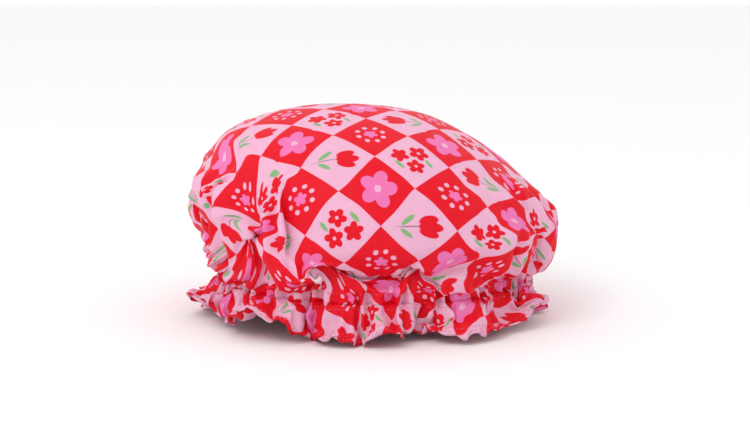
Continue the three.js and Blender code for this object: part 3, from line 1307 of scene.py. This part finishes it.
@dataclass
class CasingBand:
    """A closed band inside the casing, turned from its section and pushed oval."""

    name: str
    slot: str
    node: str
    ribs: int
    rib_depth: float
    ripples: int
    ripple_depth: float
    steps: int
    wall: float = 0.0006
    rib_steps: int = 4
    ripple_sway: float = 1.6
    ripple_sways: int = 7
    slack: float = 0.0012
    merge_distance: float = 1e-7

    def build(self) -> bpy.types.Object:
        """Makes the band between the walls of its CAD node.

        Returns:
            The finished piece.
        """
        low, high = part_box(self.node)
        outer_width, outer_depth = self.outer_sizes(low, high)
        made = bmesh.new()
        edges = self.section(made, high.z - low.z)
        bmesh.ops.spin(
            made, geom=[*made.verts, *edges], cent=(0, 0, 0), axis=(0, 0, 1),
            angle=FULL_TURN, steps=self.steps, use_merge=True,
        )
        bmesh.ops.remove_doubles(made, verts=made.verts, dist=self.merge_distance)
        middle = (low + high) / 2
        layer = made.loops.layers.uv.new("UVMap")
        for face in made.faces:
            for loop in face.loops:
                turn = math.atan2(loop.vert.co.y, loop.vert.co.x)
                loop[layer].uv = (turn * outer_width, loop.vert.co.z)
        for vertex in made.verts:
            turn = math.atan2(vertex.co.y, vertex.co.x)
            sway = self.ripple_sway * math.sin(self.ripple_sways * turn)
            reach = vertex.co.xy.length - 1 + self.ripple_depth * math.sin(self.ripples * turn + sway)
            vertex.co.x = middle.x + (outer_width + reach) * math.cos(turn)
            vertex.co.y = middle.y + (outer_depth + reach) * math.sin(turn)
            vertex.co.z = vertex.co.z + middle.z
        bmesh.ops.recalc_face_normals(made, faces=made.faces)
        piece = finished(self.name, made)
        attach(piece, BODY)
        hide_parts(self.node)
        return piece

    def outer_sizes(self, low: Vector, high: Vector) -> tuple[float, float]:
        """Half width and half depth of the band's outer wall, drawn in from the cloth's folds."""
        drawn_in = self.ripple_depth + self.slack
        return (high.x - low.x) / 2 - drawn_in, (high.y - low.y) / 2 - drawn_in

    def section(self, made: bmesh.types.BMesh, height: float) -> list[bmesh.types.BMEdge]:
        """Draws the band's section beside the axis, one unit out, with its ribs.

        Args:
            made: The mesh in the making.
            height: Height of the band.

        Returns:
            The section's edges.
        """
        steps = self.ribs * self.rib_steps
        outline = []
        for face in (1, -1):
            for step in range(steps + 1):
                share = step / steps
                rib = self.rib_depth * abs(math.sin(math.pi * self.ribs * share))
                bulge = (self.wall / 2 - self.rib_depth + rib) * face
                outline.append((1 - self.wall / 2 + bulge, (0.5 - share) * height * face))
        corners = [made.verts.new((radius, 0, z)) for radius, z in outline]
        return [made.edges.new((corners[step - 1], corners[step])) for step in range(len(corners))]


class Inks(Enum):
    """Printed colours of the cloth as they are in a material, in linear light."""

    RED = (0.78, 0.004, 0.016, 1)
    PALE = (0.85, 0.41, 0.57, 1)
    PINK = (0.85, 0.17, 0.42, 1)
    LEAF = (0.21, 0.42, 0.19, 1)
    STEM = (0.30, 0.16, 0.22, 1)

    @property
    def socket(self) -> str:
        """Name of the colour's input on the print."""
        return self.name.title()


class NodeBoard:
    """A node tree with short ways to place and join its nodes."""

    def __init__(self, tree: bpy.types.NodeTree) -> None:
        """Keeps the tree that is worked on."""
        self.tree = tree

    def add(self, kind: str, **settings: object) -> bpy.types.Node:
        """Places a node and sets its options.

        Args:
            kind: Type of the node.
            settings: Its options by name.

        Returns:
            The new node.
        """
        node = self.tree.nodes.new(kind)
        for name, value in settings.items():
            setattr(node, name, value)
        return node

    def feed(self, socket: bpy.types.NodeSocket, value: object) -> None:
        """Joins a socket to another one, or sets its value.

        Args:
            socket: The input.
            value: An output to be joined to it, or a plain value.
        """
        if isinstance(value, bpy.types.NodeSocket):
            self.tree.links.new(value, socket)
        else:
            socket.default_value = value

    def fill(self, node: bpy.types.Node, *values: object) -> bpy.types.Node:
        """Feeds a node's first inputs in their order.

        Args:
            node: The node.
            values: Sockets to be joined, or plain values.

        Returns:
            The same node.
        """
        for socket, value in zip(node.inputs, values):
            self.feed(socket, value)
        return node

    def fill_named(self, node: bpy.types.Node, values: dict[str, object]) -> bpy.types.Node:
        """Feeds a node's inputs by name.

        Args:
            node: The node.
            values: Sockets to be joined, or plain values, under the names of the inputs.

        Returns:
            The same node.
        """
        for name, value in values.items():
            self.feed(node.inputs[name], value)
        return node

    def math(self, operation: str, *values: object) -> bpy.types.NodeSocket:
        """Result of a Math node."""
        return self.fill(self.add("ShaderNodeMath", operation=operation), *values).outputs[0]

    def vector(self, operation: str, *values: object) -> bpy.types.NodeSocket:
        """Result of a Vector Math node, which is a number for a length."""
        node = self.fill(self.add("ShaderNodeVectorMath", operation=operation), *values)
        return node.outputs["Value" if operation == "LENGTH" else "Vector"]

    def scaled(self, vector: object, factor: object) -> bpy.types.NodeSocket:
        """A vector, or a colour, times a number."""
        node = self.fill(self.add("ShaderNodeVectorMath", operation="SCALE"), vector)
        return self.fill_named(node, {"Scale": factor}).outputs[0]

    def joined(self, *parts: object) -> bpy.types.NodeSocket:
        """A vector from its numbers."""
        return self.fill(self.add("ShaderNodeCombineXYZ"), *parts).outputs[0]

    def noise(self, vector: object, scale: float, detail: float, distortion: float = 0) -> bpy.types.Node:
        """Soft random shades."""
        values = {"Vector": vector, "Scale": scale, "Detail": detail, "Distortion": distortion}
        return self.fill_named(self.add("ShaderNodeTexNoise"), values)

    def soft_step(self, value: object, low: float, high: float) -> bpy.types.NodeSocket:
        """Share that rises from 0 at low to 1 at high."""
        node = self.add("ShaderNodeMapRange", interpolation_type="SMOOTHSTEP")
        return self.fill(node, value, low, high, 0, 1).outputs[0]

    def mix(self, share: object, first: object, second: object) -> bpy.types.NodeSocket:
        """Colour between two colours.

        Args:
            share: Share of the second colour.
            first: A colour.
            second: A colour.

        Returns:
            The mixed colour.
        """
        node = self.add("ShaderNodeMix", data_type="RGBA")
        for name, value in (("Factor", share), ("A", first), ("B", second)):
            sockets = [socket for socket in node.inputs if socket.name == name and socket.enabled]
            self.feed(sockets[0], value)
        return [socket for socket in node.outputs if socket.enabled][0]

    def parts(self, vector: bpy.types.NodeSocket) -> list[bpy.types.NodeSocket]:
        """The three numbers of a vector."""
        return list(self.fill(self.add("ShaderNodeSeparateXYZ"), vector).outputs)

    def turned(self, vector: bpy.types.NodeSocket, angle: object) -> bpy.types.NodeSocket:
        """A vector turned about the upright axis."""
        node = self.add("ShaderNodeVectorRotate", rotation_type="Z_AXIS")
        return self.fill_named(node, {"Vector": vector, "Angle": angle}).outputs[0]

    def within(self, vector: object, place: tuple, size: tuple, angle: float = 0) -> bpy.types.NodeSocket:
        """A vector seen from a place, with a size as one unit and turned by degrees.

        Args:
            vector: The vector.
            place: What becomes the origin.
            size: What becomes one unit.
            angle: Turn in degrees.

        Returns:
            The vector as seen from there.
        """
        node = self.add("ShaderNodeMapping", vector_type="TEXTURE")
        rotation = (0, 0, math.radians(angle))
        return self.fill(node, vector, (*place, 0), rotation, (*size, 1)).outputs[0]


@dataclass(frozen=True)
class Petal:
    """An oval of the print, in shares of a check's side."""

    place: tuple[float, float]
    size: tuple[float, float]
    angle: float = 0

    def mask(self, board: NodeBoard, spot: bpy.types.NodeSocket) -> bpy.types.NodeSocket:
        """Share that is 1 inside the oval.

        Args:
            board: The tree that is worked on.
            spot: Place within the check.

        Returns:
            The share.
        """
        reach = board.vector("LENGTH", board.within(spot, self.place, self.size, self.angle))
        edge = MOTIF_EDGE / min(self.size)
        return board.soft_step(reach, 1 + edge, 1 - edge)


@dataclass(frozen=True)
class Blossom:
    """A flower with rounded petals, in shares of a check's side."""

    place: tuple[float, float]
    size: float
    angle: float = 0
    petals: int = 5
    notch: float = 0.40

    def mask(self, board: NodeBoard, spot: bpy.types.NodeSocket) -> bpy.types.NodeSocket:
        """Share that is 1 inside the flower.

        Args:
            board: The tree that is worked on.
            spot: Place within the check.

        Returns:
            The share.
        """
        seen = board.within(spot, self.place, (self.size, self.size), self.angle)
        x, y, _ = board.parts(seen)
        turn = board.math("MULTIPLY", board.math("ARCTAN2", y, x), self.petals / 2)
        wave = board.math("ABSOLUTE", board.math("COSINE", turn))
        reach = board.math("MULTIPLY_ADD", wave, self.notch, 1 - self.notch)
        edge = MOTIF_EDGE / self.size
        gap = board.math("SUBTRACT", board.vector("LENGTH", seen), reach)
        return board.soft_step(gap, edge, -edge)


@dataclass(frozen=True)
class DotRing:
    """A ring of dots round the middle of a check, in shares of its side."""

    dots: int = 8
    ring_radius: float = 0.25
    dot_radius: float = 0.048

    def mask(self, board: NodeBoard, spot: bpy.types.NodeSocket) -> bpy.types.NodeSocket:
        """Share that is 1 inside the dots.

        Args:
            board: The tree that is worked on.
            spot: Place within the check.

        Returns:
            The share.
        """
        x, y, _ = board.parts(spot)
        wedge = FULL_TURN / self.dots
        turn = board.math("FLOORED_MODULO", board.math("ARCTAN2", y, x), wedge)
        turn = board.math("SUBTRACT", turn, wedge / 2)
        reach = board.vector("LENGTH", spot)
        ways = [board.math("MULTIPLY", reach, board.math(name, turn)) for name in ("COSINE", "SINE")]
        dot = Petal((self.ring_radius, 0), (self.dot_radius, self.dot_radius))
        return dot.mask(board, board.joined(*ways))


Motif = tuple[tuple[tuple[Petal | Blossom | DotRing, ...], Inks], ...]
BIG_BLOSSOM: Motif = (
    ((Blossom((0, 0), 0.37, 18),), Inks.PINK),
    ((Petal((0, 0), (0.07, 0.07)),), Inks.PALE),
)
DOTTED_BLOSSOM: Motif = (
    ((DotRing(),), Inks.PALE),
    ((Blossom((0, 0), 0.135),), Inks.PINK),
)
TULIP: Motif = (
    ((Petal((0, -0.18), (0.0115, 0.22)),), Inks.STEM),
    (
        (Petal((-0.120, -0.20), (0.046, 0.155), 34), Petal((0.125, -0.24), (0.044, 0.135), -38)),
        Inks.LEAF,
    ),
    (
        (
            Petal((0, 0.205), (0.096, 0.215)),
            Petal((-0.118, 0.165), (0.086, 0.172), 16),
            Petal((0.118, 0.165), (0.086, 0.172), -16),
        ),
        Inks.RED,
    ),
)
POSY: Motif = (
    ((Petal((0.05, 0.31), (0.038, 0.110), -58), Petal((0.18, -0.25), (0.038, 0.120), -52)), Inks.LEAF),
    (
        (
            Blossom((-0.18, 0.14), 0.195, 10),
            Blossom((0.19, 0.05), 0.175, 40),
            Blossom((-0.07, -0.23), 0.180, 70),
        ),
        Inks.RED,
    ),
    ((Petal((-0.18, 0.14), (0.034, 0.034)), Petal((0.19, 0.05), (0.031, 0.031))), Inks.PALE),
)


@dataclass(frozen=True)
class GardenPrint:
    """The print: red and pale checks on point with blossoms, tulips and rings of dots."""

    check: float = 0.0365
    tilt: float = 38
    shift: tuple[float, float] = (-0.0238, -0.1040)
    wobble: float = 0.14
    wobble_scale: float = 0.9
    edge: float = 0.02
    motif_angle: float = 45

    def drawn(
        self, board: NodeBoard, spot: bpy.types.NodeSocket, ground: Inks, motif: Motif, given: object
    ) -> bpy.types.NodeSocket:
        """Colour of a check with its motif.

        Args:
            board: The tree that is worked on.
            spot: Place within the check.
            ground: Colour of the check.
            motif: Shapes and their colours, the lowest first.
            given: The print's inputs.

        Returns:
            The colour.
        """
        color = given[ground.socket]
        for shapes, ink in motif:
            mask = shapes[0].mask(board, spot)
            for shape in shapes[1:]:
                mask = board.math("MAXIMUM", mask, shape.mask(board, spot))
            color = board.mix(mask, color, given[ink.socket])
        return color

    def group(self) -> bpy.types.NodeTree:
        """The print as a node group that turns a place on the cloth into its colour.

        Returns:
            The node group.
        """
        tree = bpy.data.node_groups.new("garden_check_print", "ShaderNodeTree")
        tree.interface.new_socket("Place", in_out="INPUT", socket_type="NodeSocketVector")
        for ink in Inks:
            made = tree.interface.new_socket(ink.socket, in_out="INPUT", socket_type="NodeSocketColor")
            made.default_value = ink.value
        tree.interface.new_socket("Color", in_out="OUTPUT", socket_type="NodeSocketColor")
        board = NodeBoard(tree)
        given = board.add("NodeGroupInput").outputs
        noise = board.noise(given["Place"], self.wobble_scale, 1)
        swing = board.vector("SUBTRACT", noise.outputs["Color"], (0.5, 0.5, 0.5))
        place = board.vector("ADD", given["Place"], board.vector("MULTIPLY", swing, (self.wobble,) * 3))
        cell = board.vector("FLOOR", place)
        local = board.vector("MULTIPLY", board.vector("SUBTRACT", place, cell), (1, 1, 0))
        local = board.vector("SUBTRACT", local, (0.5, 0.5, 0))
        x, y, _ = board.parts(board.vector("MULTIPLY", place, (math.pi, math.pi, 0)))
        columns = board.soft_step(board.math("SINE", x), -self.edge, self.edge)
        rows = board.soft_step(board.math("SINE", y), -self.edge, self.edge)
        apart = board.math("ABSOLUTE", board.math("SUBTRACT", columns, rows))
        is_red = board.math("SUBTRACT", 1, apart)
        row = board.parts(cell)[1]
        other = board.math("FLOORED_MODULO", row, 2)
        half_row = board.math("FLOOR", board.math("MULTIPLY", row, 0.5))
        over = board.math("FLOORED_MODULO", half_row, 2)
        angle = board.math("MULTIPLY_ADD", over, math.pi, math.radians(self.motif_angle))
        spot = board.turned(local, angle)
        checks = []
        for ground, motifs in ((Inks.PALE, (TULIP, POSY)), (Inks.RED, (BIG_BLOSSOM, DOTTED_BLOSSOM))):
            first, second = [self.drawn(board, spot, ground, motif, given) for motif in motifs]
            checks.append(board.mix(other, first, second))
        board.fill(board.add("NodeGroupOutput"), board.mix(is_red, *checks))
        return tree


@dataclass(frozen=True)
class Weave:
    """A plain weave with soft creases, and with fine gathers beside the casing."""

    streaks_round: float = 17
    streaks_outward: float = 24
    inner_reaches: tuple[float, float] = (0.178, 0.208)
    outer_reaches: tuple[float, float] = (0.240, 0.222)
    distortion: float = 0.6
    thread_height: float = 0.03
    shade_swing: float = 0.10
    least_shade: float = 0.95

    def gathers(self, board: NodeBoard, place: bpy.types.NodeSocket) -> bpy.types.NodeSocket:
        """Height of the fine gathers on both sides of the casing.

        Args:
            board: The tree that is worked on.
            place: A place on the flat cut.

        Returns:
            The height, which fades out away from the casing.
        """
        reach = board.vector("LENGTH", place)
        along = board.joined(0, 0, board.math("MULTIPLY", reach, self.streaks_outward))
        round_ways = (self.streaks_round, self.streaks_round, 0)
        ways = board.vector("MULTIPLY", board.vector("NORMALIZE", place), round_ways)
        streaks = board.noise(board.vector("ADD", ways, along), 1, 2)
        inner = board.soft_step(reach, *self.inner_reaches)
        outer = board.soft_step(reach, *self.outer_reaches)
        return board.math("MULTIPLY", streaks.outputs[0], board.math("MULTIPLY", inner, outer))

    def group(self) -> bpy.types.NodeTree:
        """The weave as a node group, which takes a place in metres and gives a height and a shade.

        Returns:
            The node group.
        """
        tree = bpy.data.node_groups.new("woven_threads", "ShaderNodeTree")
        tree.interface.new_socket("Place", in_out="INPUT", socket_type="NodeSocketVector")
        for name in ("Thread", "Crease size", "Crease depth", "Gather depth"):
            tree.interface.new_socket(name, in_out="INPUT", socket_type="NodeSocketFloat")
        for name in ("Height", "Shade"):
            tree.interface.new_socket(name, in_out="OUTPUT", socket_type="NodeSocketFloat")
        board = NodeBoard(tree)
        given = board.add("NodeGroupInput").outputs
        counted = board.scaled(given["Place"], board.math("DIVIDE", math.pi, given["Thread"]))
        x, y, _ = board.parts(counted)
        threads = board.math("MULTIPLY", board.math("SINE", x), board.math("SINE", y))
        creased = board.scaled(given["Place"], board.math("DIVIDE", 1, given["Crease size"]))
        noise = board.noise(creased, 1, 3, self.distortion).outputs[0]
        crease = board.math("MULTIPLY", noise, given["Crease depth"])
        gathers = self.gathers(board, given["Place"])
        crease = board.math("MULTIPLY_ADD", gathers, given["Gather depth"], crease)
        height = board.math("MULTIPLY_ADD", threads, self.thread_height, crease)
        shade = board.math("MULTIPLY_ADD", noise, self.shade_swing, self.least_shade)
        board.fill(board.add("NodeGroupOutput"), height, shade)
        return tree


@dataclass(frozen=True)
class Finish:
    """A finish of the cap: its colour, gloss and the threads that show."""

    name: str
    color: tuple[float, float, float, float]
    roughness: float
    thread: float
    crease_size: float
    crease_depth: float
    bump: float
    sheen: float = 0
    printed: bool = False
    soft: float = 0
    soft_depth: float = 0.003
    soft_colors: tuple[float, float, float] = (1, 0.4, 0.5)
    gloss: float = 0.15
    gathers: float = 0

    def material(self, printing: GardenPrint, groups: dict[str, bpy.types.NodeTree]) -> bpy.types.Material:
        """Builds the material from the shared groups.

        Args:
            printing: Where the print lies on the cloth.
            groups: The groups for the print and the weave.

        Returns:
            The new material.
        """
        made = bpy.data.materials.new(self.name)
        made.use_nodes = True
        board = NodeBoard(made.node_tree)
        place = board.add("ShaderNodeUVMap", uv_map="UVMap").outputs[0]
        weave = board.add("ShaderNodeGroup", node_tree=groups["weave"])
        board.fill(weave, place, self.thread, self.crease_size, self.crease_depth, self.gathers)
        color = self.color[:3]
        if self.printed:
            size = (printing.check, printing.check)
            spot = board.within(place, printing.shift, size, -printing.tilt)
            printed = board.fill(board.add("ShaderNodeGroup", node_tree=groups["print"]), spot)
            color = printed.outputs["Color"]
        bump = board.add("ShaderNodeBump")
        board.fill_named(bump, {"Strength": 1, "Distance": self.bump, "Height": weave.outputs["Height"]})
        values = {
            "Base Color": board.scaled(color, weave.outputs["Shade"]),
            "Normal": bump.outputs[0],
            "Roughness": self.roughness,
            "Specular IOR Level": self.gloss,
            "Sheen Weight": self.sheen,
            "Subsurface Weight": self.soft,
            "Subsurface Scale": self.soft_depth,
            "Subsurface Radius": self.soft_colors,
        }
        board.fill_named(made.node_tree.nodes["Principled BSDF"], values)
        return made


SATIN = Finish(
    "printed_satin", Inks.RED.value, roughness=0.55, thread=0.0005, crease_size=0.011,
    crease_depth=0.5, bump=0.0003, printed=True, soft=0.3, gathers=8,
)
SATIN_BACK = Finish(
    "printed_satin_back", Inks.RED.value, roughness=0.65, thread=0.0005, crease_size=0.011,
    crease_depth=0.5, bump=0.0003, printed=True,
)
FILM = Finish(
    "frosted_film", (0.86, 0.66, 0.74, 1), roughness=0.32, thread=0.0009, crease_size=0.006,
    crease_depth=1, bump=0.0005, soft=0.2,
)
TAPE = Finish(
    "cotton_tape", (0.80, 0.62, 0.69, 1), roughness=0.85, thread=0.0007, crease_size=0.004,
    crease_depth=0.3, bump=0.0003, sheen=0.3,
)
KNIT = Finish(
    "knitted_elastic", (0.86, 0.84, 0.82, 1), roughness=0.80, thread=0.0010, crease_size=0.003,
    crease_depth=0.3, bump=0.0004, sheen=0.2,
)
THREAD = Finish(
    "sewing_thread", (0.80, 0.10, 0.20, 1), roughness=0.55, thread=0.0006, crease_size=0.003,
    crease_depth=0.2, bump=0.0001, sheen=0.1,
)


@dataclass
class Stage:
    """The pale floor, the soft light and the camera."""

    lens: float = 100
    sensor: float = 36
    view_width: float = 0.529
    aim_height: float = 0.0647
    elevation: float = 10
    floor_size: float = 6
    floor_color: tuple[float, float, float, float] = (0.93, 0.93, 0.93, 1)
    floor_roughness: float = 0.9
    sky: float = 1
    key_power: float = 11
    key_size: float = 0.9
    key_place: tuple[float, float, float] = (-0.9, -1.3, 1.6)

    def build(self) -> None:
        """Makes floor, sky, light and camera."""
        made = bmesh.new()
        bmesh.ops.create_grid(made, x_segments=1, y_segments=1, size=self.floor_size / 2)
        floor = finished("floor", made)
        floor.data.materials.append(self.floor_paint())
        self.light_sky()
        self.light_key()
        self.place_camera()

    def floor_paint(self) -> bpy.types.Material:
        """A plain white.

        Returns:
            The material.
        """
        paint = bpy.data.materials.new("floor_white")
        paint.use_nodes = True
        shader = paint.node_tree.nodes["Principled BSDF"]
        shader.inputs["Base Color"].default_value = self.floor_color
        shader.inputs["Roughness"].default_value = self.floor_roughness
        return paint

    def light_sky(self) -> None:
        """An even white light from all sides."""
        world = bpy.data.worlds.new("sky")
        world.use_nodes = True
        sky = world.node_tree.nodes["Background"]
        sky.inputs["Color"].default_value = (1, 1, 1, 1)
        sky.inputs["Strength"].default_value = self.sky
        bpy.context.scene.world = world

    def light_key(self) -> None:
        """A large soft light from the upper left."""
        light = bpy.data.lights.new("key", "AREA")
        light.energy = self.key_power
        light.size = self.key_size
        lamp = bpy.data.objects.new("key", light)
        lamp.location = self.key_place
        aim = Vector((0, 0, self.aim_height)) - lamp.location
        lamp.rotation_euler = aim.to_track_quat("-Z", "Y").to_euler()
        bpy.context.scene.collection.objects.link(lamp)

    def place_camera(self) -> None:
        """A camera at the photograph's angle."""
        camera = bpy.data.cameras.new("camera")
        camera.lens = self.lens
        camera.sensor_width = self.sensor
        eye = bpy.data.objects.new("camera", camera)
        tilt = math.radians(self.elevation)
        look = Vector((0, math.cos(tilt), -math.sin(tilt)))
        eye.location = Vector((0, 0, self.aim_height)) - look * (self.view_width * self.lens / self.sensor)
        eye.rotation_euler = look.to_track_quat("-Z", "Y").to_euler()
        bpy.context.scene.collection.objects.link(eye)
        bpy.context.scene.camera = eye
        bpy.context.scene.view_settings.view_transform = "Standard"


@dataclass
class ShowerCap:
    """The whole cap: its cloth, its lining, its casing and its seams."""

    cloth: CapCloth = field(default_factory=CapCloth)
    printing: GardenPrint = field(default_factory=GardenPrint)
    weave: Weave = field(default_factory=Weave)
    satin_thickness: float = 0.0005
    film_thickness: float = 0.0002
    film_inset: float = 0.0005
    film_room_share: float = 0.15
    frill_thickness: float = 0.0004
    facing_thickness: float = 0.0003
    facing_inset: float = 0.0012
    hem_width: float = 0.0065
    hem_stitches_low: float = 0.0028
    hem_stitches_high: float = 0.0058
    casing_rings_above: float = 2
    casing_rings_below: float = 1

    def layers(self) -> list[tuple[ClothLayer, Finish]]:
        """The layers of cloth and film, with their finishes.

        Returns:
            Each layer with its finish.
        """
        seam = self.cloth.elastic_ring
        edge = self.cloth.rings
        hem = self.hem_width / self.cloth.ring_step
        crown = ClothLayer(
            "crown_satin", "printed_cloth", "crown_cloth", 0, seam, 0, self.satin_thickness
        )
        film = ClothLayer(
            "crown_film", "waterproof_film", "crown_lining", 0, seam - 1, self.film_inset,
            self.film_thickness, room_share=self.film_room_share,
        )
        frill = ClothLayer(
            "frill_satin", "frill_print", "frill_cloth", seam, edge, 0, self.frill_thickness,
            hem_depth=self.hem_width,
        )
        facing = ClothLayer(
            "frill_lining", "frill_facing_print", "frill_facing", seam, edge - hem,
            self.facing_inset, self.facing_thickness,
        )
        return [(crown, SATIN), (film, FILM), (frill, SATIN), (facing, SATIN_BACK)]

    def seams(self) -> list[StitchRow]:
        """The rows of stitches at the hem and the casing.

        Returns:
            The rows.
        """
        edge = self.cloth.rings
        seam = self.cloth.elastic_ring
        step = self.cloth.ring_step
        return [
            StitchRow("hem_stitches_low", "frill_print", edge - self.hem_stitches_low / step),
            StitchRow("hem_stitches_high", "frill_print", edge - self.hem_stitches_high / step),
            StitchRow("casing_stitches_top", "printed_cloth", seam - self.casing_rings_above),
            StitchRow("casing_stitches_low", "frill_print", seam + self.casing_rings_below),
        ]

    def bands(self) -> list[tuple[CasingBand, Finish]]:
        """The tape and the elastic inside the casing.

        Returns:
            Each band with its finish.
        """
        tape = CasingBand(
            "woven_casing_tape", "cotton_tape", "casing_tape",
            ribs=1, rib_depth=0.0001, ripples=60, ripple_depth=0.0011, steps=480,
        )
        elastic = CasingBand(
            "knitted_band", "knitted_elastic", "elastic_band",
            ribs=6, rib_depth=0.00012, ripples=132, ripple_depth=0.00008, steps=528,
        )
        return [(tape, TAPE), (elastic, KNIT)]

    def settled(self) -> SettledCloth:
        """Returns:
            The settled cloth.
        """
        places = self.cloth.start()
        places = self.cloth.settle(places, self.cloth.rings, self.cloth.frames)
        LOG.info("the cloth has settled")
        places = self.cloth.finer(places)
        places = self.cloth.settle(places, 2 * self.cloth.rings, self.cloth.fine_frames)
        LOG.info("the fine creases have settled")
        return SettledCloth(self.cloth.softened(places), self.cloth)

    def build(self) -> None:
        """Makes and dresses every piece."""
        groups = {"print": self.printing.group(), "weave": self.weave.group()}
        cloth = self.settled()
        for layer, finish in self.layers():
            piece = layer.build(cloth)
            self.dress(piece, finish, groups)
        for band, finish in self.bands():
            self.dress(band.build(), finish, groups)
        for row in self.seams():
            self.dress(row.build(cloth), THREAD, groups)

    def dress(self, piece: bpy.types.Object, finish: Finish, groups: dict[str, bpy.types.NodeTree]) -> None:
        """Gives a piece its finish.

        Args:
            piece: The piece.
            finish: Its finish.
            groups: The shared node groups.
        """
        paint = bpy.data.materials.get(finish.name) or finish.material(self.printing, groups)
        piece.data.materials.append(paint)
        LOG.info("%s: %d faces, %s", piece.name, len(piece.data.polygons), finish.name)


def main() -> None:
    """Builds the cap around its frame and sets the stage."""
    logging.basicConfig(level=logging.INFO, format="%(name)s: %(message)s")
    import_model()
    ShowerCap().build()
    Stage().build()


if __name__ == "__main__":
    main()
